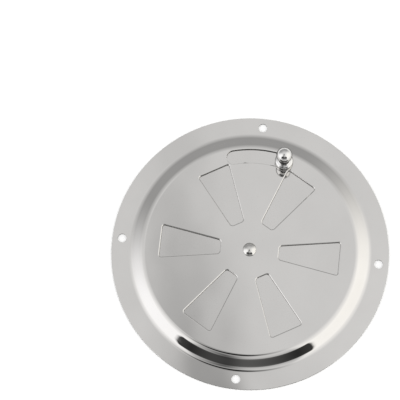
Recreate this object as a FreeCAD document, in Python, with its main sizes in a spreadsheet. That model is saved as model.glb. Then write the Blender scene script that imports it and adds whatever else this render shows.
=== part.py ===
import FreeCAD, Part
import math
import os
import Sketcher

# Round butterfly vent cover. A pressed sheet cover with radial openings carries a shutter disc with
# matching openings, which turns on a central rivet and is moved by a knob in an arc slot.
# Frame: origin at the centre of the flange's back face, +Z out of the front, +Y towards the arc slot.
# The rest position is closed: the knob is near the clockwise end of the slot.

DRIVING_SIZES = {
    # cover plate
    "flange_diameter": 127.0,
    "sheet_thickness": 0.8,
    "rim_chamfer": 0.25,
    "panel_inset": 15.8,
    "panel_rise": 3.2,
    "shoulder_lean": 35.0,
    "crown_radius": 5.6,
    "foot_radius": 5.6,
    "screw_inset": 4.6,
    "screw_hole": 4.0,
    "screw_hole_count": 4,
    # openings, the same in the cover and in the shutter
    "opening_count": 6,
    "opening_inner_edge": 13.4,
    "opening_slot_margin": 0.1,
    "opening_inner_width": 6.2,
    "opening_outer_width": 15.3,
    "opening_corner": 1.2,
    # arc slot and the shutter's travel, which ends a little short of the slot's ends
    "slot_panel_margin": 0.2,
    "slot_width": 6.6,
    "slot_clearance": 0.3,
    "slot_end_play": 0.6,
    "turn_angle": 30.0,
    # shutter disc
    "shutter_slot_overlap": 0.5,
    "shutter_thickness": 0.6,
    "shutter_gap": 0.15,
    # pivot
    "rivet_shank": 3.2,
    "pivot_clearance": 0.05,
    "rivet_head_diameter": 6.1,
    "rivet_head_edge": 0.4,
    "rivet_head_height": 1.9,
    "rivet_tail_diameter": 5.2,
    "rivet_tail_height": 0.9,
    "spring_washer_diameter": 9.0,
    "spring_washer_thickness": 0.3,
    "spring_washer_dish": 0.25,
    "spring_washer_gap": 0.05,
    "pivot_washer_diameter": 8.0,
    "pivot_washer_thickness": 0.5,
    "washer_clearance": 0.1,
    # knob and its screw
    "collar_clearance": 0.3,
    "collar_diameter": 8.4,
    "collar_thickness": 3.0,
    "neck_diameter": 4.8,
    "neck_fillet": 0.8,
    "ball_diameter": 7.2,
    "ball_height": 11.7,
    "screw_shank": 3.0,
    "screw_engagement": 5.0,
    "screw_tip_gap": 0.5,
    "thread_clearance": 0.03,
    "screw_head_diameter": 5.6,
    "screw_head_edge": 0.6,
    "screw_head_height": 1.5,
    "recess_length": 3.2,
    "recess_width": 0.8,
    "recess_depth": 0.8,
    "lock_washer_diameter": 5.8,
    "lock_washer_thickness": 0.5,
    "lock_washer_slit": 0.6,
}

# Rules that follow the rim inwards: the flat panel's edge, the slot's middle, the openings' outer edge.
# An @word in a rule is a driving size.
PANEL_RADIUS = "(@flange_diameter / 2 - @panel_inset)"
SLOT_RADIUS = f"({PANEL_RADIUS} - @slot_panel_margin - @slot_width / 2)"
OPENING_OUTER_EDGE = f"({SLOT_RADIUS} - @slot_width / 2 - @opening_slot_margin)"

# The knob, its screw and its washer stand on one axis, near the closed end of the slot.
KNOB_X = f"{SLOT_RADIUS} * sin(@turn_angle / 2)"
KNOB_Y = f"{SLOT_RADIUS} * cos(@turn_angle / 2)"
SLOT_END_X = f"{SLOT_RADIUS} * sin(@turn_angle / 2 + @slot_end_play)"

# Ends of a sketch's lines and arcs, and the sketch's own axes and origin.
START, END, CENTRE = range(1, 4)
LEVEL_AXIS, UPRIGHT_AXIS = range(-1, -3, -1)
SKETCH_ORIGIN = (LEVEL_AXIS, START)

doc = FreeCAD.newDocument("vent_cover")
sheet = doc.addObject("Spreadsheet::Sheet", "Sizes")
for row, (alias, value) in enumerate(DRIVING_SIZES.items(), start=1):
    sheet.set(f"A{row}", alias)
    sheet.set(f"B{row}", str(value))
    sheet.setAlias(f"B{row}", alias)
doc.recompute()


def size(alias):
    return float(sheet.get(alias))


panel_radius = size("flange_diameter") / 2 - size("panel_inset")
slot_radius = panel_radius - size("slot_panel_margin") - size("slot_width") / 2
opening_outer_edge = slot_radius - size("slot_width") / 2 - size("opening_slot_margin")


def rule(text):
    """An expression in which each @word is a cell of the sheet."""
    return text.replace("@", "Sizes.")


def new_body(label):
    body = doc.addObject("PartDesign::Body", label)
    body.Label = label
    return body


def place(body, x="0", y="0", z="0", turn="0"):
    for axis, text in (("x", x), ("y", y), ("z", z)):
        body.setExpression(f"Placement.Base.{axis}", rule(text))
    body.setExpression("Placement.Rotation.Angle", rule(turn))


def origin_feature(body, role):
    return next(feature for feature in body.Origin.OriginFeatures if feature.Role == role)


def new_sketch(body, name, role):
    sketch = body.newObject("Sketcher::SketchObject", name)
    sketch.AttachmentSupport = [(origin_feature(body, role), "")]
    sketch.MapMode = "FlatFace"
    return sketch


def line(sketch, start, end):
    return sketch.addGeometry(Part.LineSegment(FreeCAD.Vector(*start), FreeCAD.Vector(*end)))


def guide(sketch, start, end):
    return sketch.addGeometry(Part.LineSegment(FreeCAD.Vector(*start), FreeCAD.Vector(*end)), True)


def arc(sketch, centre, radius, first, last):
    """Counter-clockwise arc between two angles in degrees."""
    circle = Part.Circle(FreeCAD.Vector(*centre), FreeCAD.Vector(0, 0, 1), radius)
    return sketch.addGeometry(Part.ArcOfCircle(circle, math.radians(first), math.radians(last)))


def circle_at(sketch, centre, radius):
    return sketch.addGeometry(Part.Circle(FreeCAD.Vector(*centre), FreeCAD.Vector(0, 0, 1), radius))


def fix(sketch, kind, *items):
    return sketch.addConstraint(Sketcher.Constraint(kind, *items))


def drive(sketch, text, kind, *items):
    index = fix(sketch, kind, *items)
    sketch.setExpression(f"Constraints[{index}]", rule(text))


def across(sketch, item, end, text):
    drive(sketch, text, "DistanceX", *SKETCH_ORIGIN, item, end, sketch.getPoint(item, end).x)


def above(sketch, item, end, text):
    drive(sketch, text, "DistanceY", *SKETCH_ORIGIN, item, end, sketch.getPoint(item, end).y)


def radius(sketch, item, text):
    drive(sketch, text, "Radius", item, sketch.Geometry[item].Radius)


def chain(sketch, joints):
    """Ties (item, end, item, end, kind) pairs of ends, either square or tangent."""
    for first, first_end, second, second_end, kind in joints:
        fix(sketch, kind, first, first_end, second, second_end)


def revolve(body, sketch, name):
    feature = body.newObject("PartDesign::Revolution", name)
    feature.Profile = sketch
    feature.ReferenceAxis = (sketch, ["V_Axis"])
    feature.Angle = 360
    doc.recompute()
    return feature


def pad(body, sketch, name, length):
    feature = body.newObject("PartDesign::Pad", name)
    feature.Profile = sketch
    feature.setExpression("Length", rule(length))
    doc.recompute()
    return feature


def cut(body, sketch, name, depth=None):
    """Cuts a sketch right through the body, or to a depth upwards from its plane."""
    before = body.Shape.Volume
    feature = body.newObject("PartDesign::Pocket", name)
    feature.Profile = sketch
    if depth is None:
        feature.Type = "ThroughAll"
        feature.Midplane = True
    else:
        feature.Reversed = True
        feature.setExpression("Length", rule(depth))
    doc.recompute()
    if body.Shape.Volume >= before:
        raise RuntimeError(f"{name} cuts nothing")
    return feature


def polar(body, feature, name, count, angle=360):
    pattern = body.newObject("PartDesign::PolarPattern", name)
    pattern.Originals = [feature]
    pattern.Axis = (origin_feature(body, "Z_Axis"), [""])
    pattern.Angle = angle
    pattern.setExpression("Occurrences", rule(count))
    body.Tip = pattern
    doc.recompute()
    return pattern


def pivot_hole(body):
    """The hole at the centre that turns on the rivet's shank, or is held by it."""
    sketch = new_sketch(body, "pivot_hole_sketch", "XY_Plane")
    hole = circle_at(sketch, (0, 0), size("rivet_shank") / 2)
    fix(sketch, "Coincident", hole, CENTRE, *SKETCH_ORIGIN)
    radius(sketch, hole, "@rivet_shank / 2 + @pivot_clearance")
    cut(body, sketch, "pivot_hole")


def radial_openings(body):
    """Tapered openings with rounded corners: one is cut on +X and turned round the centre."""
    inner = size("opening_inner_edge")
    outer = opening_outer_edge
    half_inner = size("opening_inner_width") / 2
    half_outer = size("opening_outer_width") / 2
    corner = size("opening_corner")
    sketch = new_sketch(body, "opening_sketch", "XY_Plane")

    # sharp outline, anticlockwise from its inner edge's lower corner
    corners = [(inner, -half_inner), (outer, -half_outer), (outer, half_outer), (inner, half_inner)]
    sides = [guide(sketch, corners[index], corners[(index + 1) % 4]) for index in range(4)]
    chain(sketch, [(sides[index], END, sides[(index + 1) % 4], START, "Coincident") for index in range(4)])
    for upright in (sides[1], sides[3]):
        fix(sketch, "Symmetric", upright, START, upright, END, LEVEL_AXIS)
    across(sketch, sides[1], END, OPENING_OUTER_EDGE)
    across(sketch, sides[3], START, "@opening_inner_edge")
    above(sketch, sides[1], END, "@opening_outer_width / 2")
    above(sketch, sides[3], START, "@opening_inner_width / 2")

    # the cut outline lies on the sharp one, with an arc at each corner
    slope = math.degrees(math.atan2(half_outer - half_inner, outer - inner))
    headings = [-slope, 90.0, 180.0 + slope, 270.0]
    centres = []
    for index in range(4):
        heading = math.radians(headings[index - 1])
        turned = math.radians((headings[index] - headings[index - 1]) % 360)
        run_back = corner * math.tan(turned / 2)
        x = corners[index][0] - run_back * math.cos(heading) - corner * math.sin(heading)
        y = corners[index][1] - run_back * math.sin(heading) + corner * math.cos(heading)
        centres.append((x, y))
    bends = []
    edges = []
    for index in range(4):
        first = headings[index - 1] - 90.0
        last = first + (headings[index] - headings[index - 1]) % 360
        bends.append(arc(sketch, centres[index], corner, first, last))
    for index in range(4):
        start = sketch.getPoint(bends[index], END)
        end = sketch.getPoint(bends[(index + 1) % 4], START)
        edges.append(line(sketch, (start.x, start.y), (end.x, end.y)))
    for index in range(4):
        fix(sketch, "PointOnObject", edges[index], START, sides[index])
        fix(sketch, "PointOnObject", edges[index], END, sides[index])
        fix(sketch, "Tangent", bends[index], END, edges[index], START)
        fix(sketch, "Tangent", edges[index], END, bends[(index + 1) % 4], START)
        radius(sketch, bends[index], "@opening_corner")
    polar(body, cut(body, sketch, "opening"), "openings", "@opening_count")


def arc_slot(body):
    """Slot that follows a circle about the centre, with round ends, half on each side of +Y."""
    half_width = size("slot_width") / 2
    half_turn = size("turn_angle") / 2 + size("slot_end_play")
    reach = slot_radius * math.sin(math.radians(half_turn))
    height = slot_radius * math.cos(math.radians(half_turn))
    sketch = new_sketch(body, "slot_sketch", "XY_Plane")
    outer = arc(sketch, (0, 0), slot_radius + half_width, 90 - half_turn, 90 + half_turn)
    inner = arc(sketch, (0, 0), slot_radius - half_width, 90 - half_turn, 90 + half_turn)
    left = arc(sketch, (-reach, height), half_width, 90 + half_turn, 270 + half_turn)
    right = arc(sketch, (reach, height), half_width, 270 - half_turn, 450 - half_turn)
    for side in (outer, inner):
        fix(sketch, "Coincident", side, CENTRE, *SKETCH_ORIGIN)
    chain(sketch, [
        (outer, END, left, START, "Tangent"),
        (left, END, inner, END, "Tangent"),
        (inner, START, right, START, "Tangent"),
        (right, END, outer, START, "Tangent"),
    ])
    radius(sketch, outer, f"{SLOT_RADIUS} + @slot_width / 2")
    radius(sketch, inner, f"{SLOT_RADIUS} - @slot_width / 2")
    across(sketch, right, CENTRE, SLOT_END_X)
    drive(sketch, SLOT_END_X, "DistanceX", left, CENTRE, *SKETCH_ORIGIN, reach)
    cut(body, sketch, "slot")


def make_cover_plate():
    """Pressed plate: flat flange, sloping shoulder of even thickness, raised flat panel, punched holes."""
    body = new_body("cover_plate")
    rim = size("flange_diameter") / 2
    chamfer = size("rim_chamfer")
    thickness = size("sheet_thickness")
    panel = panel_radius
    top = thickness + size("panel_rise")
    crown = size("crown_radius")
    foot = size("foot_radius")
    lean = size("shoulder_lean")
    across_lean = math.sin(math.radians(lean))
    along_lean = math.cos(math.radians(lean))
    slope = (size("panel_rise") - (crown + foot) * (1 - along_lean)) / across_lean
    foot_start = panel + (crown + foot) * across_lean + slope * along_lean
    crown_centre = (panel, top - crown)
    foot_centre = (foot_start, thickness + foot)

    def on_arc(centre, reach):
        return (centre[0] + reach * across_lean, centre[1] + reach * along_lean)

    sketch = new_sketch(body, "cover_section", "XZ_Plane")
    panel_top = line(sketch, (0, top), (panel, top))
    crown_top = arc(sketch, crown_centre, crown, 90 - lean, 90)
    slope_top = line(sketch, on_arc(crown_centre, crown), on_arc(foot_centre, -foot))
    foot_top = arc(sketch, foot_centre, foot, 270 - lean, 270)
    flange_top = line(sketch, (foot_start, thickness), (rim - chamfer, thickness))
    rim_edge = line(sketch, (rim - chamfer, thickness), (rim, thickness - chamfer))
    rim_wall = line(sketch, (rim, thickness - chamfer), (rim, 0))
    flange_back = line(sketch, (rim, 0), (foot_start, 0))
    foot_back = arc(sketch, foot_centre, foot + thickness, 270 - lean, 270)
    slope_back = line(sketch, on_arc(foot_centre, -foot - thickness), on_arc(crown_centre, crown - thickness))
    crown_back = arc(sketch, crown_centre, crown - thickness, 90 - lean, 90)
    panel_back = line(sketch, (panel, top - thickness), (0, top - thickness))
    centre_line = line(sketch, (0, top - thickness), (0, top))

    for level in (panel_top, flange_top, flange_back, panel_back):
        fix(sketch, "Horizontal", level)
    for upright in (rim_wall, centre_line):
        fix(sketch, "Vertical", upright)
    chain(sketch, [
        (panel_top, END, crown_top, END, "Tangent"),
        (crown_top, START, slope_top, START, "Tangent"),
        (slope_top, END, foot_top, START, "Tangent"),
        (foot_top, END, flange_top, START, "Tangent"),
        (flange_top, END, rim_edge, START, "Coincident"),
        (rim_edge, END, rim_wall, START, "Coincident"),
        (rim_wall, END, flange_back, START, "Coincident"),
        (flange_back, END, foot_back, END, "Tangent"),
        (foot_back, START, slope_back, START, "Tangent"),
        (slope_back, END, crown_back, START, "Tangent"),
        (crown_back, END, panel_back, START, "Tangent"),
        (panel_back, END, centre_line, START, "Coincident"),
        (centre_line, END, panel_top, START, "Coincident"),
        (crown_back, CENTRE, crown_top, CENTRE, "Coincident"),
        (foot_back, CENTRE, foot_top, CENTRE, "Coincident"),
    ])
    fix(sketch, "Parallel", slope_top, slope_back)
    fix(sketch, "PointOnObject", centre_line, START, UPRIGHT_AXIS)
    fix(sketch, "PointOnObject", rim_wall, END, LEVEL_AXIS)
    across(sketch, rim_wall, END, "@flange_diameter / 2")
    across(sketch, panel_top, END, PANEL_RADIUS)
    across(sketch, crown_top, START, f"{PANEL_RADIUS} + @crown_radius * sin(@shoulder_lean)")
    above(sketch, flange_top, END, "@sheet_thickness")
    above(sketch, panel_top, END, "@sheet_thickness + @panel_rise")
    across(sketch, rim_edge, START, "@flange_diameter / 2 - @rim_chamfer")
    above(sketch, rim_edge, END, "@sheet_thickness - @rim_chamfer")
    radius(sketch, crown_top, "@crown_radius")
    radius(sketch, foot_top, "@foot_radius")
    revolve(body, sketch, "pressing")

    radial_openings(body)
    arc_slot(body)
    hole_sketch = new_sketch(body, "screw_hole_sketch", "XY_Plane")
    hole = circle_at(hole_sketch, (rim - size("screw_inset"), 0), size("screw_hole") / 2)
    fix(hole_sketch, "PointOnObject", hole, CENTRE, LEVEL_AXIS)
    across(hole_sketch, hole, CENTRE, "@flange_diameter / 2 - @screw_inset")
    radius(hole_sketch, hole, "@screw_hole / 2")
    polar(body, cut(body, hole_sketch, "screw_hole"), "screw_holes", "@screw_hole_count")
    pivot_hole(body)
    place(body)
    return body


def make_shutter_disc():
    """Flat disc behind the panel. Its own frame is the open position, so it is turned back to closed."""
    body = new_body("shutter_disc")
    sketch = new_sketch(body, "disc_sketch", "XY_Plane")
    disc = circle_at(sketch, (0, 0), slot_radius + size("slot_width") / 2 + size("shutter_slot_overlap"))
    fix(sketch, "Coincident", disc, CENTRE, *SKETCH_ORIGIN)
    radius(sketch, disc, f"{SLOT_RADIUS} + @slot_width / 2 + @shutter_slot_overlap")
    pad(body, sketch, "disc", "@shutter_thickness")
    radial_openings(body)
    pivot_hole(body)

    # the knob's screw hole lies on the slot's circle, half a turn from +Y in the closed frame
    half_turn = math.radians(size("turn_angle") / 2)
    reach = slot_radius * math.sin(half_turn)
    height = slot_radius * math.cos(half_turn)
    sketch = new_sketch(body, "knob_hole_sketch", "XY_Plane")
    hole = circle_at(sketch, (-reach, height), size("screw_shank") / 2)
    drive(sketch, KNOB_X, "DistanceX", hole, CENTRE, *SKETCH_ORIGIN, reach)
    above(sketch, hole, CENTRE, KNOB_Y)
    radius(sketch, hole, "@screw_shank / 2 + @washer_clearance")
    cut(body, sketch, "knob_hole")
    place(body, z="@panel_rise - @shutter_gap - @shutter_thickness", turn="-@turn_angle")
    return body


def make_pivot_rivet():
    """Rivet with a domed head on the panel and a tail closed over the washers behind the shutter."""
    body = new_body("pivot_rivet")
    head = size("rivet_head_diameter") / 2
    edge = size("rivet_head_edge")
    dome = size("rivet_head_height") - edge
    shank = size("rivet_shank") / 2
    tail = size("rivet_tail_diameter") / 2
    tail_height = size("rivet_tail_height")
    stack = (
        "@sheet_thickness + @shutter_gap + @shutter_thickness + @spring_washer_gap"
        " + @spring_washer_thickness + @spring_washer_dish + @pivot_washer_thickness"
    )
    grip = sum(size(word.lstrip("@")) for word in stack.split(" + "))

    def cap_radius(half_chord, height):
        return (half_chord ** 2 + height ** 2) / (2 * height)

    dome_radius = cap_radius(head, dome)
    tail_radius = cap_radius(tail, tail_height)
    dome_angle = math.degrees(math.asin(head / dome_radius))
    tail_angle = math.degrees(math.asin(tail / tail_radius))

    # heights in the section are measured from the panel's front face
    sketch = new_sketch(body, "rivet_section", "XZ_Plane")
    head_dome = arc(sketch, (0, edge + dome - dome_radius), dome_radius, 90 - dome_angle, 90)
    head_wall = line(sketch, (head, edge), (head, 0))
    head_seat = line(sketch, (head, 0), (shank, 0))
    shank_wall = line(sketch, (shank, 0), (shank, -grip))
    tail_seat = line(sketch, (shank, -grip), (tail, -grip))
    tail_dome = arc(sketch, (0, tail_radius - grip - tail_height), tail_radius, 270, 270 + tail_angle)
    centre_line = line(sketch, (0, -grip - tail_height), (0, edge + dome))
    for level in (head_seat, tail_seat):
        fix(sketch, "Horizontal", level)
    for upright in (head_wall, shank_wall, centre_line):
        fix(sketch, "Vertical", upright)
    chain(sketch, [
        (head_dome, START, head_wall, START, "Coincident"),
        (head_wall, END, head_seat, START, "Coincident"),
        (head_seat, END, shank_wall, START, "Coincident"),
        (shank_wall, END, tail_seat, START, "Coincident"),
        (tail_seat, END, tail_dome, END, "Coincident"),
        (tail_dome, START, centre_line, START, "Coincident"),
        (centre_line, END, head_dome, END, "Coincident"),
    ])
    for point in ((head_dome, CENTRE), (tail_dome, CENTRE), (centre_line, START)):
        fix(sketch, "PointOnObject", *point, UPRIGHT_AXIS)
    fix(sketch, "PointOnObject", head_seat, START, LEVEL_AXIS)
    across(sketch, head_seat, START, "@rivet_head_diameter / 2")
    above(sketch, head_wall, START, "@rivet_head_edge")
    above(sketch, centre_line, END, "@rivet_head_height")
    across(sketch, shank_wall, START, "@rivet_shank / 2")
    across(sketch, tail_seat, END, "@rivet_tail_diameter / 2")
    drive(sketch, stack, "DistanceY", shank_wall, END, *SKETCH_ORIGIN, grip)
    drive(sketch, "@rivet_tail_height", "DistanceY", centre_line, START, tail_seat, END, tail_height)
    revolve(body, sketch, "rivet")
    place(body, z="@sheet_thickness + @panel_rise")
    return body


def make_spring_washer():
    """Dished washer: its outer rim is up against the shutter, its inner rim is down on the flat washer."""
    body = new_body("spring_washer")
    bore = size("rivet_shank") / 2 + size("washer_clearance")
    outer = size("spring_washer_diameter") / 2
    thickness = size("spring_washer_thickness")
    dish = size("spring_washer_dish")
    sketch = new_sketch(body, "spring_section", "XZ_Plane")
    lower = line(sketch, (bore, 0), (outer, dish))
    outer_wall = line(sketch, (outer, dish), (outer, dish + thickness))
    upper = line(sketch, (outer, dish + thickness), (bore, thickness))
    inner_wall = line(sketch, (bore, thickness), (bore, 0))
    walls = [lower, outer_wall, upper, inner_wall]
    chain(sketch, [(walls[index], END, walls[(index + 1) % 4], START, "Coincident") for index in range(4)])
    for upright in (outer_wall, inner_wall):
        fix(sketch, "Vertical", upright)
    fix(sketch, "PointOnObject", lower, START, LEVEL_AXIS)
    across(sketch, lower, START, "@rivet_shank / 2 + @washer_clearance")
    across(sketch, lower, END, "@spring_washer_diameter / 2")
    above(sketch, lower, END, "@spring_washer_dish")
    above(sketch, outer_wall, END, "@spring_washer_dish + @spring_washer_thickness")
    above(sketch, upper, END, "@spring_washer_thickness")
    revolve(body, sketch, "spring")
    place(body, z="@panel_rise - @shutter_gap - @shutter_thickness - @spring_washer_gap"
                  " - @spring_washer_thickness - @spring_washer_dish")
    return body


def make_flat_ring(label, outer, inner, thickness):
    """A plain punched washer whose lower face is on its own XY plane."""
    body = new_body(label)
    sketch = new_sketch(body, "ring_sketch", "XY_Plane")
    for text, start in ((outer, 4.0), (inner, 2.0)):
        ring = circle_at(sketch, (0, 0), start)
        fix(sketch, "Coincident", ring, CENTRE, *SKETCH_ORIGIN)
        radius(sketch, ring, text)
    pad(body, sketch, "ring", thickness)
    return body


def make_pivot_washer():
    body = make_flat_ring(
        "pivot_washer",
        "@pivot_washer_diameter / 2",
        "@rivet_shank / 2 + @washer_clearance",
        "@pivot_washer_thickness",
    )
    place(body, z="@panel_rise - @shutter_gap - @shutter_thickness - @spring_washer_gap"
                  " - @spring_washer_thickness - @spring_washer_dish - @pivot_washer_thickness")
    return body


def make_knob():
    """Turned knob: stem in the slot, rounded collar over the panel, neck, ball, and a tapped hole below."""
    body = new_body("knob")
    stem = size("slot_width") / 2 - size("slot_clearance")
    bore = size("screw_shank") / 2 + size("thread_clearance")
    bore_depth = size("screw_engagement") + size("screw_tip_gap")
    panel_front = size("shutter_gap") + size("sheet_thickness")
    stem_top = panel_front + size("collar_clearance")
    collar = size("collar_diameter") / 2
    round_edge = size("collar_thickness") / 2
    collar_top = stem_top + 2 * round_edge
    neck = size("neck_diameter") / 2
    fillet = size("neck_fillet")
    ball = size("ball_diameter") / 2
    ball_centre = panel_front + size("ball_height")
    ball_angle = math.degrees(math.acos(neck / ball))
    ball_foot = ball_centre - ball * math.sin(math.radians(ball_angle))

    # heights in the section are measured from the shutter's front face
    sketch = new_sketch(body, "knob_section", "XZ_Plane")
    seat = line(sketch, (bore, 0), (stem, 0))
    stem_wall = line(sketch, (stem, 0), (stem, stem_top))
    collar_under = line(sketch, (stem, stem_top), (collar - round_edge, stem_top))
    collar_edge = arc(sketch, (collar - round_edge, stem_top + round_edge), round_edge, -90, 90)
    collar_over = line(sketch, (collar - round_edge, collar_top), (neck + fillet, collar_top))
    neck_foot = arc(sketch, (neck + fillet, collar_top + fillet), fillet, 180, 270)
    neck_wall = line(sketch, (neck, collar_top + fillet), (neck, ball_foot))
    ball_side = arc(sketch, (0, ball_centre), ball, -ball_angle, 90)
    centre_line = line(sketch, (0, ball_centre + ball), (0, bore_depth))
    bore_end = line(sketch, (0, bore_depth), (bore, bore_depth))
    bore_wall = line(sketch, (bore, bore_depth), (bore, 0))
    for level in (seat, collar_under, collar_over, bore_end):
        fix(sketch, "Horizontal", level)
    for upright in (stem_wall, neck_wall, centre_line, bore_wall):
        fix(sketch, "Vertical", upright)
    chain(sketch, [
        (seat, END, stem_wall, START, "Coincident"),
        (stem_wall, END, collar_under, START, "Coincident"),
        (collar_under, END, collar_edge, START, "Tangent"),
        (collar_edge, END, collar_over, START, "Tangent"),
        (collar_over, END, neck_foot, END, "Tangent"),
        (neck_foot, START, neck_wall, START, "Tangent"),
        (neck_wall, END, ball_side, START, "Coincident"),
        (ball_side, END, centre_line, START, "Coincident"),
        (centre_line, END, bore_end, START, "Coincident"),
        (bore_end, END, bore_wall, START, "Coincident"),
        (bore_wall, END, seat, START, "Coincident"),
    ])
    for point in ((ball_side, CENTRE), (centre_line, END)):
        fix(sketch, "PointOnObject", *point, UPRIGHT_AXIS)
    fix(sketch, "PointOnObject", seat, START, LEVEL_AXIS)
    across(sketch, seat, START, "@screw_shank / 2 + @thread_clearance")
    across(sketch, seat, END, "@slot_width / 2 - @slot_clearance")
    above(sketch, stem_wall, END, "@shutter_gap + @sheet_thickness + @collar_clearance")
    across(sketch, collar_edge, CENTRE, "(@collar_diameter - @collar_thickness) / 2")
    radius(sketch, collar_edge, "@collar_thickness / 2")
    radius(sketch, neck_foot, "@neck_fillet")
    across(sketch, neck_wall, END, "@neck_diameter / 2")
    radius(sketch, ball_side, "@ball_diameter / 2")
    above(sketch, ball_side, CENTRE, "@shutter_gap + @sheet_thickness + @ball_height")
    above(sketch, bore_end, END, "@screw_engagement + @screw_tip_gap")
    revolve(body, sketch, "turning")
    place(body, KNOB_X, KNOB_Y, "@panel_rise - @shutter_gap")
    return body


def make_knob_lock_washer():
    """Split washer between the screw's head and the back of the shutter."""
    body = make_flat_ring(
        "knob_lock_washer",
        "@lock_washer_diameter / 2",
        "@screw_shank / 2 + @washer_clearance",
        "@lock_washer_thickness",
    )
    half_slit = size("lock_washer_slit") / 2
    outer = size("lock_washer_diameter") / 2
    sketch = new_sketch(body, "slit_sketch", "XY_Plane")
    corners = [(0, -half_slit), (outer, -half_slit), (outer, half_slit), (0, half_slit)]
    sides = [line(sketch, corners[index], corners[(index + 1) % 4]) for index in range(4)]
    chain(sketch, [(sides[index], END, sides[(index + 1) % 4], START, "Coincident") for index in range(4)])
    for upright in (sides[1], sides[3]):
        fix(sketch, "Symmetric", upright, START, upright, END, LEVEL_AXIS)
    fix(sketch, "PointOnObject", sides[0], START, UPRIGHT_AXIS)
    across(sketch, sides[1], END, "@lock_washer_diameter / 2")
    above(sketch, sides[1], END, "@lock_washer_slit / 2")
    above(sketch, sides[3], START, "@lock_washer_slit / 2")
    cut(body, sketch, "slit")
    place(body, KNOB_X, KNOB_Y, "@panel_rise - @shutter_gap - @shutter_thickness - @lock_washer_thickness")
    return body


def make_knob_screw():
    """Screw from behind: low rounded head with a cross recess, and a plain shank of the thread's size."""
    body = new_body("knob_screw")
    shank = size("screw_shank") / 2
    head = size("screw_head_diameter") / 2
    edge = size("screw_head_edge")
    height = size("screw_head_height")
    crown = height - edge
    length = size("lock_washer_thickness") + size("shutter_thickness") + size("screw_engagement")
    crown_radius = (head ** 2 + crown ** 2) / (2 * crown)
    crown_angle = math.degrees(math.asin(head / crown_radius))

    # heights in the section are measured from the crown of the head, which faces down
    sketch = new_sketch(body, "screw_section", "XZ_Plane")
    head_crown = arc(sketch, (0, crown_radius), crown_radius, 270, 270 + crown_angle)
    head_wall = line(sketch, (head, crown), (head, height))
    head_seat = line(sketch, (head, height), (shank, height))
    shank_wall = line(sketch, (shank, height), (shank, height + length))
    tip = line(sketch, (shank, height + length), (0, height + length))
    centre_line = line(sketch, (0, height + length), (0, 0))
    for level in (head_seat, tip):
        fix(sketch, "Horizontal", level)
    for upright in (head_wall, shank_wall, centre_line):
        fix(sketch, "Vertical", upright)
    chain(sketch, [
        (head_crown, END, head_wall, START, "Coincident"),
        (head_wall, END, head_seat, START, "Coincident"),
        (head_seat, END, shank_wall, START, "Coincident"),
        (shank_wall, END, tip, START, "Coincident"),
        (tip, END, centre_line, START, "Coincident"),
        (centre_line, END, head_crown, START, "Coincident"),
    ])
    fix(sketch, "PointOnObject", head_crown, CENTRE, UPRIGHT_AXIS)
    fix(sketch, "Coincident", centre_line, END, *SKETCH_ORIGIN)
    across(sketch, head_wall, END, "@screw_head_diameter / 2")
    above(sketch, head_wall, START, "@screw_head_height - @screw_head_edge")
    above(sketch, head_wall, END, "@screw_head_height")
    across(sketch, shank_wall, END, "@screw_shank / 2")
    above(sketch, shank_wall, END, "@screw_head_height + @lock_washer_thickness + @shutter_thickness"
                                   " + @screw_engagement")
    revolve(body, sketch, "screw")

    half_length = size("recess_length") / 2
    half_width = size("recess_width") / 2
    sketch = new_sketch(body, "recess_sketch", "XY_Plane")
    corners = [(-half_length, -half_width), (half_length, -half_width), (half_length, half_width),
               (-half_length, half_width)]
    sides = [line(sketch, corners[index], corners[(index + 1) % 4]) for index in range(4)]
    chain(sketch, [(sides[index], END, sides[(index + 1) % 4], START, "Coincident") for index in range(4)])
    for upright in (sides[1], sides[3]):
        fix(sketch, "Symmetric", upright, START, upright, END, LEVEL_AXIS)
    fix(sketch, "Symmetric", sides[0], START, sides[0], END, UPRIGHT_AXIS)
    across(sketch, sides[1], END, "@recess_length / 2")
    above(sketch, sides[1], END, "@recess_width / 2")
    recess = cut(body, sketch, "recess", "@recess_depth")
    polar(body, recess, "cross_recess", "2", angle=90)
    place(body, KNOB_X, KNOB_Y, "@panel_rise - @shutter_gap - @shutter_thickness - @lock_washer_thickness"
                                " - @screw_head_height")
    return body


pieces = [
    make_cover_plate(),
    make_shutter_disc(),
    make_pivot_rivet(),
    make_spring_washer(),
    make_pivot_washer(),
    make_knob(),
    make_knob_lock_washer(),
    make_knob_screw(),
]
doc.recompute()

for item in doc.Objects:
    if "Invalid" in item.State or "Error" in item.State:
        raise RuntimeError(f"{item.Label} failed: {item.State}")
for piece in pieces:
    if piece.Shape.isNull() or not piece.Shape.isValid():
        raise RuntimeError(f"{piece.Label} has no valid shape")

os.makedirs("parts", exist_ok=True)
for piece in pieces:
    piece.Shape.exportStep(f"parts/{piece.Label}.step")
    box = piece.Shape.optimalBoundingBox()
    print(f"{piece.Label}: {piece.Shape.Volume:.1f} mm3, z {box.ZMin:.2f} to {box.ZMax:.2f}")
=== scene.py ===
import bpy
import math
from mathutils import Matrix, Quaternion, Vector


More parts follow.
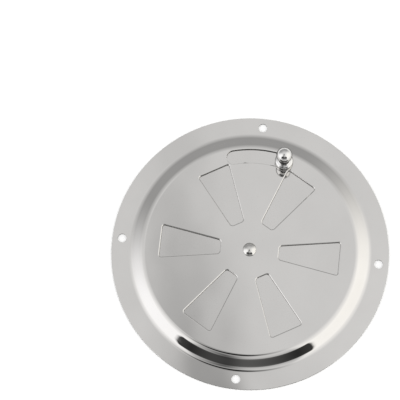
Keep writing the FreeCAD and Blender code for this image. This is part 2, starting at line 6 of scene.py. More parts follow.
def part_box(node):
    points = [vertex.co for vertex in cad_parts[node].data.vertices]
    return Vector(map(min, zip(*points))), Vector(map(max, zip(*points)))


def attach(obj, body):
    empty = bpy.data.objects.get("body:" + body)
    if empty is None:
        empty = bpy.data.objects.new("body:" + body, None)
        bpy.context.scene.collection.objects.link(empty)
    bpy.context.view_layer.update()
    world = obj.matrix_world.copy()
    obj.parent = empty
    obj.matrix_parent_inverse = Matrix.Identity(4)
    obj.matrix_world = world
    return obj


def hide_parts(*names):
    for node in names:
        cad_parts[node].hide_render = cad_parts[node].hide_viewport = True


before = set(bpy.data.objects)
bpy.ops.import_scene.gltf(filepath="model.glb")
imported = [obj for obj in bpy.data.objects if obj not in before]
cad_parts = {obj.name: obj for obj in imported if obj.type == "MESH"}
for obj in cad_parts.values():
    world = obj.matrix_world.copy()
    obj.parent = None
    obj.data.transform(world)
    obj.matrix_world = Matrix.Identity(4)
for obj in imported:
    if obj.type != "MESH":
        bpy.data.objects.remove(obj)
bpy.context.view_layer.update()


# Cover plate: one disc of polished stainless sheet, pressed so that a flat panel stands proud of the
# flange on a sloping shoulder. The radial openings, the arc slot and the screw holes are punched out.
# Polishing has thinned the flange a little towards its rim, which is cut with a slight taper.
mm = 0.001
plate_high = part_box("cover_plate")[1]
rim_radius = plate_high.x
panel_front = plate_high.z
sheet_thickness = 0.8 * mm
panel_radius = rim_radius - 15.8 * mm
shoulder_lean = 35
flange_lean = 1.3
crown_radius = 5.6 * mm
foot_radius = 5.6 * mm
rim_rounding = 0.12 * mm
rim_lean = 8
opening_edge = 0.54 * mm
opening_inner_edge = 13.4 * mm
opening_outer_edge = 40.8 * mm
opening_inner_width = 6.2 * mm
opening_outer_width = 15.3 * mm
opening_corner = 1.2 * mm
opening_count = 6
slot_radius = 44.2 * mm
slot_width = 6.6 * mm
slot_turn = math.radians(31.2)
slot_edge = 0.15 * mm
screw_circle_radius = 58.9 * mm
screw_hole_radius = 2.0 * mm
screw_hole_edge = 0.04 * mm
screw_hole_count = 4
pivot_hole_radius = 1.65 * mm
cutter_height = 20 * mm
weld_distance = 0.0005 * mm
height_margin = 0.01 * mm
sharp_angle = math.radians(40)
flat_face_weight = 100
plate_steps = 288
bend_steps = 24
rim_steps = 4
roll_steps = 5
soft_steps = 3
corner_steps = 6
hole_steps = 48
slot_side_steps = 40
slot_end_steps = 24


def arc_points(centre, radius, first, last, steps):
    """Points of a section, as (distance from the axis, height), on an arc between two angles in degrees."""
    angles = [math.radians(first + (last - first) * step / steps) for step in range(steps + 1)]
    return [(centre[0] + radius * math.cos(angle), centre[1] + radius * math.sin(angle)) for angle in angles]


def turned(name, outline, steps, axis=(0, 0)):
    """A turned shape: one vertex is drawn out along the section's outline, which is spun about an axis."""
    bpy.ops.object.select_all(action="DESELECT")
    bpy.ops.mesh.primitive_plane_add(size=mm)
    piece = bpy.context.object
    piece.name = name
    bpy.ops.object.mode_set(mode="EDIT")
    bpy.ops.mesh.merge(type="CENTER")
    bpy.ops.transform.translate(value=(axis[0] + outline[0][0], axis[1], outline[0][1]))
    for here, there in zip(outline, outline[1:]):
        step = (there[0] - here[0], 0, there[1] - here[1])
        bpy.ops.mesh.extrude_region_move(TRANSFORM_OT_translate={"value": step})
    bpy.ops.mesh.select_all(action="SELECT")
    bpy.ops.mesh.spin(steps=steps, angle=math.tau, center=(*axis, 0), axis=(0, 0, 1))
    bpy.ops.mesh.select_all(action="SELECT")
    bpy.ops.mesh.remove_doubles(threshold=weld_distance)
    bpy.ops.mesh.fill_holes(sides=0)
    bpy.ops.mesh.select_all(action="SELECT")
    bpy.ops.mesh.normals_make_consistent(inside=False)
    bpy.ops.object.mode_set(mode="OBJECT")
    return piece


def active_only(piece):
    """Selects one piece alone."""
    bpy.ops.object.select_all(action="DESELECT")
    piece.select_set(True)
    bpy.context.view_layer.objects.active = piece


def joined(pieces):
    """Makes one object of several pieces."""
    active_only(pieces[0])
    for piece in pieces[1:]:
        piece.select_set(True)
    bpy.ops.object.join()
    return bpy.context.object


def placed(piece):
    """Puts a piece's place and turn into its mesh, so that its object sits at the origin."""
    active_only(piece)
    bpy.ops.object.transform_apply(location=True, rotation=True, scale=True)
    return piece


def punched(piece, cutters):
    """Cuts the joined cutters out of a piece and removes them."""
    cutter = joined(cutters)
    active_only(piece)
    cut = piece.modifiers.new("punch", "BOOLEAN")
    cut.operation = "DIFFERENCE"
    cut.solver = "EXACT"
    cut.object = cutter
    bpy.ops.object.modifier_apply(modifier=cut.name)
    bpy.data.objects.remove(cutter)


def edge_softened(piece, width):
    """Rolls the sharp edges over and shades the piece smooth, with its flat faces kept flat."""
    active_only(piece)
    bevel = piece.modifiers.new("edges", "BEVEL")
    bevel.width = width
    bevel.segments = soft_steps
    bevel.limit_method = "ANGLE"
    bevel.angle_limit = sharp_angle
    bevel.use_clamp_overlap = False
    bpy.ops.object.modifier_apply(modifier=bevel.name)
    bpy.ops.object.shade_smooth()
    weighting = piece.modifiers.new("flats", "WEIGHTED_NORMAL")
    weighting.mode = "FACE_AREA"
    weighting.weight = flat_face_weight
    bpy.ops.object.modifier_apply(modifier=weighting.name)


def chosen_edges_rounded(piece, chosen, width, steps):
    """Rounds some edges of a piece, which are given as one yes or no for each edge."""
    active_only(piece)
    bpy.ops.object.mode_set(mode="EDIT")
    bpy.ops.mesh.select_mode(type="EDGE")
    bpy.ops.mesh.select_all(action="DESELECT")
    bpy.ops.object.mode_set(mode="OBJECT")
    for edge, choice in zip(piece.data.edges, chosen):
        edge.select = choice
    bpy.ops.object.mode_set(mode="EDIT")
    bpy.ops.mesh.bevel(offset=width, segments=steps, affect="EDGES", clamp_overlap=False)
    bpy.ops.mesh.select_mode(type="VERT")
    bpy.ops.object.mode_set(mode="OBJECT")


def front_edges_rolled(piece, height, width):
    """Rolls the sharp edges at one height over, as a punch leaves them on the side where it goes in."""
    active_only(piece)
    bpy.ops.object.mode_set(mode="EDIT")
    bpy.ops.mesh.select_mode(type="EDGE")
    bpy.ops.mesh.select_all(action="DESELECT")
    bpy.ops.mesh.edges_select_sharp(sharpness=sharp_angle)
    bpy.ops.object.mode_set(mode="OBJECT")
    points = piece.data.vertices
    at_front = [
        edge.select and all(abs(points[index].co.z - height) < height_margin for index in edge.vertices)
        for edge in piece.data.edges
    ]
    chosen_edges_rounded(piece, at_front, width, roll_steps)


def cylinder_cutter(radius, x, y):
    """Punch for a round hole."""
    bpy.ops.object.select_all(action="DESELECT")
    bpy.ops.mesh.primitive_cylinder_add(
        vertices=hole_steps, radius=radius, depth=cutter_height, location=(x, y, 0))
    return placed(bpy.context.object)


def block_cutter(size, location):
    """A square-cornered punch, as its size along each axis and its centre."""
    bpy.ops.object.select_all(action="DESELECT")
    bpy.ops.mesh.primitive_cube_add(size=1, location=location)
    bpy.ops.object.mode_set(mode="EDIT")
    bpy.ops.transform.resize(value=size)
    bpy.ops.object.mode_set(mode="OBJECT")
    return placed(bpy.context.object)


def opening_cutters(turn):
    """Tapered punches with rounded corners, one modelled on +X and copied round the centre."""
    length = opening_outer_edge - opening_inner_edge
    middle = (opening_outer_edge + opening_inner_edge) / 2
    first = block_cutter((length, opening_inner_width, cutter_height), (middle, 0, 0))
    points = first.data.vertices
    for point in points:
        point.select = point.co.x > middle
    for part in (*first.data.edges, *first.data.polygons):
        part.select = all(points[index].select for index in part.vertices)
    bpy.ops.object.mode_set(mode="EDIT")
    bpy.ops.transform.resize(value=(1, opening_outer_width / opening_inner_width, 1))
    bpy.ops.object.mode_set(mode="OBJECT")
    upright = [
        abs(points[edge.vertices[0]].co.z - points[edge.vertices[1]].co.z) > mm
        for edge in first.data.edges
    ]
    chosen_edges_rounded(first, upright, opening_corner, corner_steps)
    cutters = []
    for index in range(opening_count):
        copy = first.copy()
        copy.data = first.data.copy()
        bpy.context.collection.objects.link(copy)
        copy.rotation_euler.z = turn + math.tau * index / opening_count
        cutters.append(placed(copy))
    bpy.data.objects.remove(first)
    return cutters


def slot_cutter():
    """Punch for the arc slot: a vertex is spun along one side, round each end and back, then raised."""
    half = slot_width / 2
    end_angles = (math.pi / 2 + slot_turn / 2, math.pi / 2 - slot_turn / 2)
    ends = [Vector((math.cos(angle), math.sin(angle), 0)) for angle in end_angles]
    start = ends[0] * (slot_radius + half)
    runs = [
        (slot_side_steps, slot_turn, Vector()),
        (slot_end_steps, math.pi, ends[1] * slot_radius),
        (slot_side_steps, -slot_turn, Vector()),
        (slot_end_steps, math.pi, ends[0] * slot_radius),
    ]
    bpy.ops.object.select_all(action="DESELECT")
    bpy.ops.mesh.primitive_plane_add(size=mm)
    bpy.ops.object.mode_set(mode="EDIT")
    bpy.ops.mesh.merge(type="CENTER")
    bpy.ops.transform.translate(value=(start.x, start.y, -cutter_height / 2))
    for steps, angle, centre in runs:
        bpy.ops.mesh.spin(steps=steps, angle=angle, center=centre, axis=(0, 0, 1))
    bpy.ops.mesh.select_all(action="SELECT")
    bpy.ops.mesh.remove_doubles(threshold=weld_distance)
    bpy.ops.mesh.edge_face_add()
    bpy.ops.mesh.extrude_region_move(TRANSFORM_OT_translate={"value": (0, 0, cutter_height)})
    bpy.ops.mesh.select_all(action="SELECT")
    bpy.ops.mesh.normals_make_consistent(inside=False)
    bpy.ops.object.mode_set(mode="OBJECT")
    return bpy.context.object


panel_rise = panel_front - sheet_thickness
both_radii = crown_radius + foot_radius
lean_sine, lean_cosine = math.sin(math.radians(shoulder_lean)), math.cos(math.radians(shoulder_lean))
slope_length = (panel_rise - both_radii * (1 - lean_cosine)) / lean_sine
shoulder_width = both_radii * lean_sine + slope_length * lean_cosine
crown_centre = (panel_radius, panel_front - crown_radius)
foot_centre = (panel_radius + shoulder_width, sheet_thickness + foot_radius)
flange_fall = (rim_radius - foot_centre[0]) * math.tan(math.radians(flange_lean))
rim_sine, rim_cosine = math.sin(math.radians(rim_lean)), math.cos(math.radians(rim_lean))
rim_height = sheet_thickness - flange_fall - rim_rounding
rim_taper = (rim_height + rim_rounding * rim_sine) * rim_sine / rim_cosine
rim_centre = (rim_radius - rim_taper - rim_rounding * rim_cosine, rim_height)
plate_section = [
    *arc_points(crown_centre, crown_radius, 90, 90 - shoulder_lean, bend_steps),
    *arc_points(foot_centre, foot_radius, 270 - shoulder_lean, 270 - flange_lean, bend_steps),
    *arc_points(rim_centre, rim_rounding, 90 - flange_lean, rim_lean, rim_steps),
    (rim_radius, 0),
    *arc_points(foot_centre, foot_radius + sheet_thickness, 270, 270 - shoulder_lean, bend_steps),
    *arc_points(crown_centre, crown_radius - sheet_thickness, 90 - shoulder_lean, 90, bend_steps),
]
cover_plate = turned("vent_cover_plate", plate_section, plate_steps)
punched(cover_plate, [*opening_cutters(turn=0), cylinder_cutter(pivot_hole_radius, 0, 0)])
front_edges_rolled(cover_plate, panel_front, opening_edge)
punched(cover_plate, [slot_cutter()])
edge_softened(cover_plate, slot_edge)
screw_hole_cutters = []
for index in range(screw_hole_count):
    angle = math.tau * index / screw_hole_count
    place = (screw_circle_radius * math.cos(angle), screw_circle_radius * math.sin(angle))
    screw_hole_cutters.append(cylinder_cutter(screw_hole_radius, *place))
punched(cover_plate, screw_hole_cutters)
edge_softened(cover_plate, screw_hole_edge)

cloud_scale = 60
cloud_detail = 3
cloud_low, cloud_high = 0.3, 0.7
gloss_low, gloss_high = 0.75, 1.25
wave_detail = 1
dull_share = 0.96
polish_depth = 0.1 * mm
# Painted shade: a sheet's cut edges are matt steel painted near black, for the shade on the walls and gaps
# there.
shade_full, shade_none = 0.2, 0.55
sheared_shade_colour = (0.045, 0.043, 0.04)
sheet_unevenness = 3.5
sheet_bow = 0.44


def group_socket(group, name, direction, kind="NodeSocketFloat"):
    """Adds an input or an output to a node group."""
    group.interface.new_socket(name=name, in_out=direction, socket_type=kind)


def ranged(nodes, links, value, from_low, from_high, to_low, to_high):
    """A value moved from one range to another, and held at its ends."""
    step = nodes.new("ShaderNodeMapRange")
    step.inputs["From Min"].default_value = from_low
    step.inputs["From Max"].default_value = from_high
    step.inputs["To Min"].default_value = to_low
    step.inputs["To Max"].default_value = to_high
    links.new(value, step.inputs["Value"])
    return step.outputs["Result"]


def fill_inputs(links, sockets, values):
    """Gives each input its value, which is a number, a vector or another node's output."""
    for socket, value in zip(sockets, values):
        if isinstance(value, (int, float, tuple)):
            socket.default_value = value
        else:
            links.new(value, socket)


def math_node(nodes, links, operation, *values):
    """A math node, with each input either a number or another node's output."""
    node = nodes.new("ShaderNodeMath")
    node.operation = operation
    fill_inputs(links, node.inputs, values)
    return node.outputs["Value"]


def vector_node(nodes, links, operation, *values):
    """A vector math node, with each input either a vector or another node's output."""
    node = nodes.new("ShaderNodeVectorMath")
    node.operation = operation
    fill_inputs(links, node.inputs, values)
    return node.outputs["Vector"]


def colour_mix(nodes, links, share, first, second, blend="MIX"):
    """A mix of two colours, each a grey tone, a colour or another node's output."""
    mix = nodes.new("ShaderNodeMix")
    mix.data_type = "RGBA"
    mix.blend_type = blend
    links.new(share, mix.inputs["Factor"])
    for name, colour in (("A", first), ("B", second)):
        if isinstance(colour, (int, float)):
            mix.inputs[name].default_value = (colour, colour, colour, 1)
        elif isinstance(colour, tuple):
            mix.inputs[name].default_value = (*colour, 1)
        else:
            links.new(colour, mix.inputs[name])
    return mix.outputs["Result"]


def polish_group():
    """Marks of polishing: cloudy gloss, a faint change of tone and a slow unevenness of the surface."""
    group = bpy.data.node_groups.new("polish_marks", "ShaderNodeTree")
    for name in ("Roughness", "Unevenness", "Wave Size"):
        group_socket(group, name, "INPUT")
    for name in ("Roughness", "Tone", "Height"):
        group_socket(group, name, "OUTPUT")
    nodes, links = group.nodes, group.links
    values_in = nodes.new("NodeGroupInput").outputs
    values_out = nodes.new("NodeGroupOutput").inputs
    place = nodes.new("ShaderNodeTexCoord").outputs["Object"]
    cloud = nodes.new("ShaderNodeTexNoise")
    cloud.inputs["Scale"].default_value = cloud_scale
    cloud.inputs["Detail"].default_value = cloud_detail
    links.new(place, cloud.inputs["Vector"])
    spread = ranged(nodes, links, cloud.outputs["Fac"], cloud_low, cloud_high, gloss_low, gloss_high)
    tone = ranged(nodes, links, cloud.outputs["Fac"], cloud_low, cloud_high, 0.0, 1.0)
    wave = nodes.new("ShaderNodeTexNoise")
    wave.inputs["Detail"].default_value = wave_detail
    links.new(place, wave.inputs["Vector"])
    links.new(values_in["Wave Size"], wave.inputs["Scale"])
    height = math_node(nodes, links, "MULTIPLY", wave.outputs["Fac"], values_in["Unevenness"])
    roughness = math_node(nodes, links, "MULTIPLY", values_in["Roughness"], spread)
    links.new(roughness, values_out["Roughness"])
    links.new(tone, values_out["Tone"])
    links.new(height, values_out["Height"])
    return group


def sheet_group():
    """Marks of presswork: a mask of a sheet's cut edges, which carries their painted shade, and the slight
    outward bow of its flat faces.
    """
    group = bpy.data.node_groups.new("presswork_shade_and_bow", "ShaderNodeTree")
    group_socket(group, "Bow", "INPUT")
    group_socket(group, "Sheared Edge Shade", "OUTPUT")
    group_socket(group, "Normal", "OUTPUT", "NodeSocketVector")
    nodes, links = group.nodes, group.links
    values_in = nodes.new("NodeGroupInput").outputs
    values_out = nodes.new("NodeGroupOutput").inputs
    place = nodes.new("ShaderNodeTexCoord")
    slant = nodes.new("ShaderNodeSeparateXYZ")
    links.new(place.outputs["Normal"], slant.inputs["Vector"])
    level = math_node(nodes, links, "ABSOLUTE", slant.outputs["Z"])
    # Painted shade mask: full on the faces that stand on their side, which are the cut edges.
    links.new(ranged(nodes, links, level, shade_full, shade_none, 1.0, 0.0), values_out["Sheared Edge Shade"])
    outward = vector_node(nodes, links, "MULTIPLY", place.outputs["Object"], (1, 1, 0))
    tilt = vector_node(nodes, links, "MULTIPLY", outward, values_in["Bow"])
    facing = nodes.new("ShaderNodeNewGeometry").outputs["Normal"]
    tilted = vector_node(nodes, links, "ADD", facing, tilt)
    links.new(vector_node(nodes, links, "NORMALIZE", tilted), values_out["Normal"])
    return group


polish_marks = polish_group()
presswork_shade_and_bow = sheet_group()


def metal(name, colour, roughness, unevenness, wave_size, sheared_shade=None, bow=0.0, rim_reflection_shade=1.0):
    """A polished metal with the polish marks, and a painted shade over its reflection at the rims. A sheet
    also has matt cut edges painted near black as shade, and a bow.
    """
    material = bpy.data.materials.new(name)
    material.use_nodes = True
    nodes, links = material.node_tree.nodes, material.node_tree.links
    surface = nodes["Principled BSDF"].inputs
    surface["Base Color"].default_value = (*colour, 1)
    surface["Metallic"].default_value = 1.0
    # Painted shade: a dark edge tint dims the reflection where the surface turns away from the lens.
    surface["Specular Tint"].default_value = (rim_reflection_shade, rim_reflection_shade, rim_reflection_shade, 1)
    marks = nodes.new("ShaderNodeGroup")
    marks.node_tree = polish_marks
    marks.inputs["Roughness"].default_value = roughness
    marks.inputs["Unevenness"].default_value = unevenness
    marks.inputs["Wave Size"].default_value = wave_size
    dull_colour = tuple(dull_share * part for part in colour)
    shown_colour = colour_mix(nodes, links, marks.outputs["Tone"], dull_colour, colour)
    bump = nodes.new("ShaderNodeBump")
    bump.inputs["Strength"].default_value = 1.0
    bump.inputs["Distance"].default_value = polish_depth
    links.new(marks.outputs["Height"], bump.inputs["Height"])
    if sheared_shade:
        press = nodes.new("ShaderNodeGroup")
        press.node_tree = presswork_shade_and_bow
        press.inputs["Bow"].default_value = bow
        # Painted shade: the cut edges are painted near black and made matt.
        sheared_edge_shade = press.outputs["Sheared Edge Shade"]
        shown_colour = colour_mix(nodes, links, sheared_edge_shade, shown_colour, sheared_shade)
        surface["Specular IOR Level"].default_value = 0.0
        links.new(ranged(nodes, links, sheared_edge_shade, 0.0, 1.0, 1.0, 0.0), surface["Metallic"])
        links.new(press.outputs["Normal"], bump.inputs["Normal"])
    links.new(shown_colour, surface["Base Color"])
    links.new(marks.outputs["Roughness"], surface["Roughness"])
    links.new(bump.outputs["Normal"], surface["Normal"])
    return material


def finished(piece, material, body, node):
    """Gives a piece its one material and its body, and hides the CAD node that it stands for."""
    piece.data.materials.clear()
    piece.data.materials.append(material)
    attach(piece, body)
    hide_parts(node)


plate_steel = metal(
    "polished stainless sheet",
    colour=(0.715, 0.703, 0.688),
    roughness=0.03,
    unevenness=sheet_unevenness,
    wave_size=28,
    sheared_shade=sheared_shade_colour,
    bow=sheet_bow,
)
finished(cover_plate, plate_steel, "cover", "cover_plate")


# Shutter disc: a thinner disc of the same steel behind the panel, with the same openings, turned half a
# pitch so that its webs close the panel's openings. The rivet passes its centre, the knob's screw its edge.
shutter_low, shutter_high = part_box("shutter_disc")
shutter_radius = shutter_high.x
shutter_edge = 0.05 * mm
shutter_steps = 192
knob_hole_radius = 1.6 * mm
knob_low, knob_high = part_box("knob")
knob_axis = ((knob_low.x + knob_high.x) / 2, (knob_low.y + knob_high.y) / 2)
shutter_section = [
    (shutter_radius / 2, shutter_high.z),
    (shutter_radius, shutter_high.z),
    (shutter_radius, shutter_low.z),
    (shutter_radius / 2, shutter_low.z),
]
shutter_disc = turned("vent_shutter_disc", shutter_section, shutter_steps)
punched(shutter_disc, [
    *opening_cutters(turn=math.pi / opening_count),
    cylinder_cutter(pivot_hole_radius, 0, 0),
    cylinder_cutter(knob_hole_radius, *knob_axis),
])
edge_softened(shutter_disc, shutter_edge)
shutter_steel = metal(
    "bright rolled stainless sheet",
    colour=(0.705, 0.693, 0.678),
    roughness=0.07,
    unevenness=sheet_unevenness,
    wave_size=34,
    sheared_shade=sheared_shade_colour,
    bow=sheet_bow,
)
finished(shutter_disc, shutter_steel, "shutter", "shutter_disc")


# Pivot rivet: a turned steel rivet with a domed head on the panel. Its tail is closed over the washers
# behind the shutter, so the shutter turns on it with a little drag.
rivet_low, rivet_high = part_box("pivot_rivet")
rivet_head_radius = rivet_high.x
rivet_head_edge = 0.4 * mm
rivet_shank_radius = 1.6 * mm
rivet_tail_radius = 2.6 * mm
rivet_tail_height = 0.9 * mm
rivet_edge = 0.12 * mm
rivet_head_steps = 16
rivet_tail_steps = 12
small_turning_steps = 72
# Painted shade: an edge tint that darkens the rivet's and the knob's reflection at their rims.
painted_rim_shade = 0.1


def cap_points(radius, edge_height, crown_height, steps):
    """Section of a domed cap, from its edge to its crown, as part of one circle."""
    rise = crown_height - edge_height
    dome_radius = (radius ** 2 + rise ** 2) / (2 * rise)
    reach = math.degrees(math.asin(min(1.0, radius / abs(dome_radius))))
    if rise > 0:
        return arc_points((0, crown_height - dome_radius), dome_radius, 90 - reach, 90, steps)
    return arc_points((0, crown_height - dome_radius), -dome_radius, 270 + reach, 270, steps)


rivet_tail_top = rivet_low.z + rivet_tail_height
rivet_section = [
    *reversed(cap_points(rivet_head_radius, panel_front + rivet_head_edge, rivet_high.z, rivet_head_steps)),
    (rivet_head_radius, panel_front),
    (rivet_shank_radius, panel_front),
    (rivet_shank_radius, rivet_tail_top),
    *cap_points(rivet_tail_radius, rivet_tail_top, rivet_low.z, rivet_tail_steps),
]
pivot_rivet = turned("vent_pivot_rivet", rivet_section, small_turning_steps)
edge_softened(pivot_rivet, rivet_edge)
rivet_steel = metal(
    "tumbled rivet steel",
    colour=(0.72, 0.71, 0.69),
    roughness=0.10,
    unevenness=0.4,
    wave_size=300,
    rim_reflection_shade=painted_rim_shade,
)
finished(pivot_rivet, rivet_steel, "cover", "pivot_rivet")


# Spring washer: a thin dished washer of stamped steel round the rivet. It presses the shutter towards the
# panel, which gives the drag that holds the shutter where it is put.
spring_low, spring_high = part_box("spring_washer")
spring_thickness = 0.3 * mm
spring_edge = 0.05 * mm
washer_bore = 1.7 * mm
spring_section = [
    (washer_bore, spring_low.z),
    (spring_high.x, spring_high.z - spring_thickness),
    (spring_high.x, spring_high.z),
    (washer_bore, spring_low.z + spring_thickness),
    (washer_bore, spring_low.z),
]
spring_washer = turned("vent_spring_washer", spring_section, small_turning_steps)
edge_softened(spring_washer, spring_edge)
stamped_steel = metal(
    "stamped washer steel",
    colour=(0.62, 0.61, 0.59),
    roughness=0.26,
    unevenness=0.5,
    wave_size=240,
)
finished(spring_washer, stamped_steel, "cover", "spring_washer")


# Pivot washer: a flat washer of the same stamped steel. The rivet's tail is closed on it, behind the
# spring washer.
pivot_washer_low, pivot_washer_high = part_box("pivot_washer")
pivot_washer_edge = 0.07 * mm


def flat_ring(bore, outer, low, high):
    """Section of a flat ring, closed on itself."""
    return [(bore, low), (outer, low), (outer, high), (bore, high), (bore, low)]


pivot_washer_section = flat_ring(washer_bore, pivot_washer_high.x, pivot_washer_low.z, pivot_washer_high.z)
pivot_washer = turned("vent_pivot_washer", pivot_washer_section, small_turning_steps)
edge_softened(pivot_washer, pivot_washer_edge)
finished(pivot_washer, stamped_steel, "cover", "pivot_washer")


# Knob: turned and bright plated, with a ball to hold, a narrow neck, a rounded collar over the panel and
# a stem that slides in the slot. It is bored from below for its screw.
stem_radius = 3.0 * mm
collar_radius = (knob_high.x - knob_low.x) / 2
collar_thickness = 3.0 * mm
collar_gap = 0.3 * mm
neck_radius = 2.4 * mm
neck_fillet = 0.8 * mm
ball_radius = 3.6 * mm
bore_radius = 1.53 * mm
bore_depth = 5.5 * mm
knob_edge = 0.06 * mm
knob_steps = 96
ball_steps = 28
fillet_steps = 8
collar_steps = 16
collar_foot = panel_front + collar_gap
collar_top = collar_foot + collar_thickness
collar_round = collar_thickness / 2
ball_centre = knob_high.z - ball_radius
ball_start = math.degrees(math.acos(neck_radius / ball_radius))
bore_end = knob_low.z + bore_depth
fillet_centre = (neck_radius + neck_fillet, collar_top + neck_fillet)
collar_centre = (collar_radius - collar_round, collar_foot + collar_round)
knob_section = [
    *arc_points((0, ball_centre), ball_radius, 90, -ball_start, ball_steps),
    *arc_points(fillet_centre, neck_fillet, 180, 270, fillet_steps),
    *arc_points(collar_centre, collar_round, 90, -90, collar_steps),
    (stem_radius, collar_foot),
    (stem_radius, knob_low.z),
    (bore_radius, knob_low.z),
    (bore_radius, bore_end),
    (0, bore_end),
]
knob = turned("vent_knob", knob_section, knob_steps, axis=knob_axis)
edge_softened(knob, knob_edge)
knob_chrome = metal(
    "bright chrome plate",
    colour=(0.74, 0.735, 0.725),
    roughness=0.05,
    unevenness=0.2,
    wave_size=200,
    rim_reflection_shade=painted_rim_shade,
)
finished(knob, knob_chrome, "shutter", "knob")


# Knob lock washer: a ring of spring steel with one cut, behind the shutter and under the screw's head.
# It keeps the screw from working loose.
lock_low, lock_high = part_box("knob_lock_washer")
lock_outer = lock_high.y - knob_axis[1]
lock_bore = 1.6 * mm
lock_slit = 0.6 * mm
lock_edge = 0.05 * mm
lock_section = flat_ring(lock_bore, lock_outer, lock_low.z, lock_high.z)
lock_washer = turned("vent_knob_lock_washer", lock_section, small_turning_steps, axis=knob_axis)
slit_place = (knob_axis[0] + lock_outer, knob_axis[1], lock_low.z)
punched(lock_washer, [block_cutter((2 * lock_outer, lock_slit, cutter_height), slit_place)])
edge_softened(lock_washer, lock_edge)
spring_steel = metal(
    "dark spring steel",
    colour=(0.50, 0.49, 0.47),
    roughness=0.28,
    unevenness=0.5,
    wave_size=300,
)
finished(lock_washer, spring_steel, "shutter", "knob_lock_washer")


# Knob screw: a machine screw put in from behind, with a low rounded head and a cross recess. Its shank
# passes the lock washer and the shutter, and is screwed into the knob.
screw_low, screw_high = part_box("knob_screw")
screw_head_radius = (screw_high.x - screw_low.x) / 2
screw_head_height = 1.5 * mm
screw_head_edge = 0.6 * mm
screw_shank_radius = 1.5 * mm
screw_edge = 0.04 * mm
screw_head_steps = 14
recess_length = 3.2 * mm
recess_width = 0.8 * mm
recess_depth = 0.8 * mm
screw_seat = screw_low.z + screw_head_height
screw_section = [
    (0, screw_high.z),
    (screw_shank_radius, screw_high.z),
    (screw_shank_radius, screw_seat),
    (screw_head_radius, screw_seat),
    *cap_points(screw_head_radius, screw_seat - screw_head_edge, screw_low.z, screw_head_steps),
]
knob_screw = turned("vent_knob_screw", screw_section, small_turning_steps, axis=knob_axis)
for size_x, size_y in ((recess_length, recess_width), (recess_width, recess_length)):
    punched(knob_screw, [block_cutter((size_x, size_y, 2 * recess_depth), (*knob_axis, screw_low.z))])
edge_softened(knob_screw, screw_edge)
screw_steel = metal(
    "bright screw steel",
    colour=(0.66, 0.65, 0.63),
    roughness=0.18,
    unevenness=0.5,
    wave_size=300,
)
finished(knob_screw, screw_steel, "shutter", "knob_screw")


# Table: a wide white surface under the flange. It looks white to the lens and in the metal, and still
# takes the part's soft shadow.
table_size = 4.0
table_drop = 0.05 * mm
table_tone = 0.92
table_roughness = 0.9
table_glow = 0.38
bpy.ops.object.select_all(action="DESELECT")
bpy.ops.mesh.primitive_plane_add(size=table_size, location=(0, 0, -table_drop))
table = bpy.context.object
table.name = "table"
table_white = bpy.data.materials.new("matt white table")
table_white.use_nodes = True
nodes, links = table_white.node_tree.nodes, table_white.node_tree.links
surface = nodes["Principled BSDF"].inputs
surface["Base Color"].default_value = (table_tone, table_tone, table_tone, 1)
surface["Roughness"].default_value = table_roughness
surface["Specular IOR Level"].default_value = 0.0
surface["Emission Color"].default_value = (1, 1, 1, 1)
path = nodes.new("ShaderNodeLightPath").outputs
seen = math_node(nodes, links, "MAXIMUM", path["Is Camera Ray"], path["Is Glossy Ray"])
seen = math_node(nodes, links, "MAXIMUM", seen, path["Is Transmission Ray"])
links.new(math_node(nodes, links, "MULTIPLY", seen, table_glow), surface["Emission Strength"])
table.data.materials.append(table_white)


# Studio light: an even ceiling, which falls off to a grey wall behind the table and runs over into bright
# walls at its left and right. A black flag stands along the near side, and the lens, its boom and its
# stand are soft dark patches overhead. Angles from overhead and compass directions are in degrees.
ceiling_light = 0.82
back_light = 0.42
back_start, back_full = 22, 62
left_light = (1.36, 1.36, 1.38)
right_light = (1.29, 1.27, 1.22)
side_start, side_full = 3, 44
side_walls = [
    # compass direction from +X, share of the side walls' light
    (0, 1.0),
    (10, 1.0),
    (75, 0.0),
    (145, 0.0),
    (200, 1.0),
    (230, 1.0),
    (240, 0.0),
    (305, 0.0),
    (315, 1.0),
    (360, 1.0),
]
flag_top, flag_bottom = (43, 48), (67, 73)
flag = [
    # compass direction from +X, share of light let through
    (0, 1.0),
    (227, 1.0),
    (229, 0.04),
    (272, 0.30),
    (315, 0.04),
    (317, 1.0),
    (360, 1.0),
]
lens_shadow = dict(centre=(-0.06, -0.19), lean=0, width=0.14, far_reach=0.12, near_reach=0.10, depth=1.40)
boom_shadow = dict(centre=(-0.02, -0.20), lean=13, width=0.045, far_reach=0.42, near_reach=0.10, depth=0.58)
stand_shadow = dict(centre=(-0.13, -0.50), lean=0, width=0.12, far_reach=0.20, near_reach=0.50, depth=0.80)
world = bpy.data.worlds.new("studio")
bpy.context.scene.world = world
world.use_nodes = True
nodes, links = world.node_tree.nodes, world.node_tree.links
direction = nodes.new("ShaderNodeTexCoord").outputs["Generated"]


def sky_math(operation, *values):
    """A math node of the studio light."""
    return math_node(nodes, links, operation, *values)


def sky_mix(share, first, second, blend="MIX"):
    """A colour mix of the studio light."""
    return colour_mix(nodes, links, share, first, second, blend)


def components(vector):
    """The X, Y and Z outputs of a vector."""
    split = nodes.new("ShaderNodeSeparateXYZ")
    links.new(vector, split.inputs["Vector"])
    return split.outputs


def compass_ramp(share, stops):
    """Light by compass direction, each stop as (degrees, share)."""
    ramp = nodes.new("ShaderNodeValToRGB")
    ramp.color_ramp.interpolation = "EASE"
    elements = ramp.color_ramp.elements
    elements.remove(elements[-1])
    for index, (degrees, light) in enumerate(stops):
        stop = elements[0] if index == 0 else elements.new(degrees / 360)
        stop.position = degrees / 360
        stop.color = (light, light, light, 1)
    links.new(share, ramp.inputs["Fac"])
    return ramp.outputs["Color"]


def below(angle, start, full):
    """How far an angle from overhead has gone from its start to its full value."""
    return ranged(nodes, links, angle, math.radians(start), math.radians(full), 0.0, 1.0)


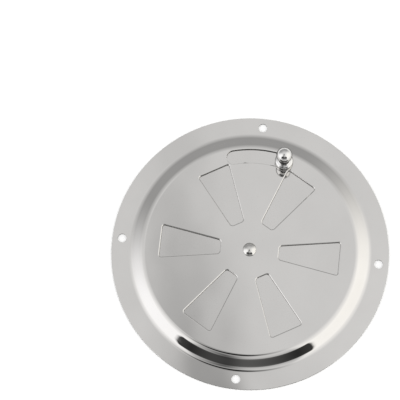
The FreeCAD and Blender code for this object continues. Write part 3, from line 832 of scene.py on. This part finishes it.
def bell(distance, width):
    """1 at no distance, and falling off softly over a width."""
    part = sky_math("DIVIDE", distance, width)
    return sky_math("EXPONENT", sky_math("MULTIPLY", sky_math("MULTIPLY", part, part), -1.0))


def soft_shadow(centre, lean, width, far_reach, near_reach, depth):
    """A soft dark patch overhead, seen from above: its centre, and how far it runs to each side of it."""
    offset = nodes.new("ShaderNodeMapping")
    offset.vector_type = "TEXTURE"
    offset.inputs["Location"].default_value = (*centre, 0)
    offset.inputs["Rotation"].default_value = (0, 0, math.radians(lean))
    links.new(direction, offset.inputs["Vector"])
    across_and_along = components(offset.outputs["Vector"])
    along = across_and_along["Y"]
    shadow = sky_math("MULTIPLY", bell(across_and_along["X"], width), depth)
    shadow = sky_math("MULTIPLY", shadow, bell(sky_math("MAXIMUM", along, 0.0), far_reach))
    return sky_math("MULTIPLY", shadow, bell(sky_math("MINIMUM", along, 0.0), near_reach))


parts = components(direction)
compass = sky_math("ARCTAN2", parts["Y"], parts["X"])
compass_share = sky_math("FRACT", sky_math("DIVIDE", compass, math.tau))
overhead = sky_math("ARCCOSINE", parts["Z"])
room = sky_mix(below(overhead, back_start, back_full), ceiling_light, back_light)
rightward = ranged(nodes, links, parts["X"], -1.0, 1.0, 0.0, 1.0)
side_light = sky_mix(rightward, left_light, right_light)
side_share = compass_ramp(compass_share, side_walls)
room = sky_mix(sky_math("MULTIPLY", below(overhead, side_start, side_full), side_share), room, side_light)
flag_height = sky_math("SUBTRACT", below(overhead, *flag_top), below(overhead, *flag_bottom))
room = sky_mix(flag_height, room, compass_ramp(compass_share, flag), "MULTIPLY")
for shadow in (lens_shadow, boom_shadow, stand_shadow):
    room = sky_mix(soft_shadow(**shadow), room, 0.0)
links.new(room, nodes["Background"].inputs["Color"])


# Camera: a long lens high above the plate and a little in front of it, looking down and rolled a little.
# Its place and target are measured from the centre of the flange's back.
camera_place = Vector((20.94, -141.35, 672.26)) * mm
camera_target = Vector((-25.37, 21.74, 0)) * mm
camera_roll = math.radians(-9.65)
camera_sensor = 36
camera_lens = 135
camera_near_limit = 10 * mm
bpy.ops.object.camera_add(location=camera_place)
camera = bpy.context.object
camera.data.sensor_width = camera_sensor
camera.data.lens = camera_lens
camera.data.clip_start = camera_near_limit
camera.rotation_mode = "QUATERNION"
straight = (camera_target - camera_place).to_track_quat("-Z", "Y")
camera.rotation_quaternion = straight @ Quaternion((0, 0, 1), camera_roll)
bpy.context.scene.camera = camera
bpy.context.scene.view_settings.view_transform = "Standard"
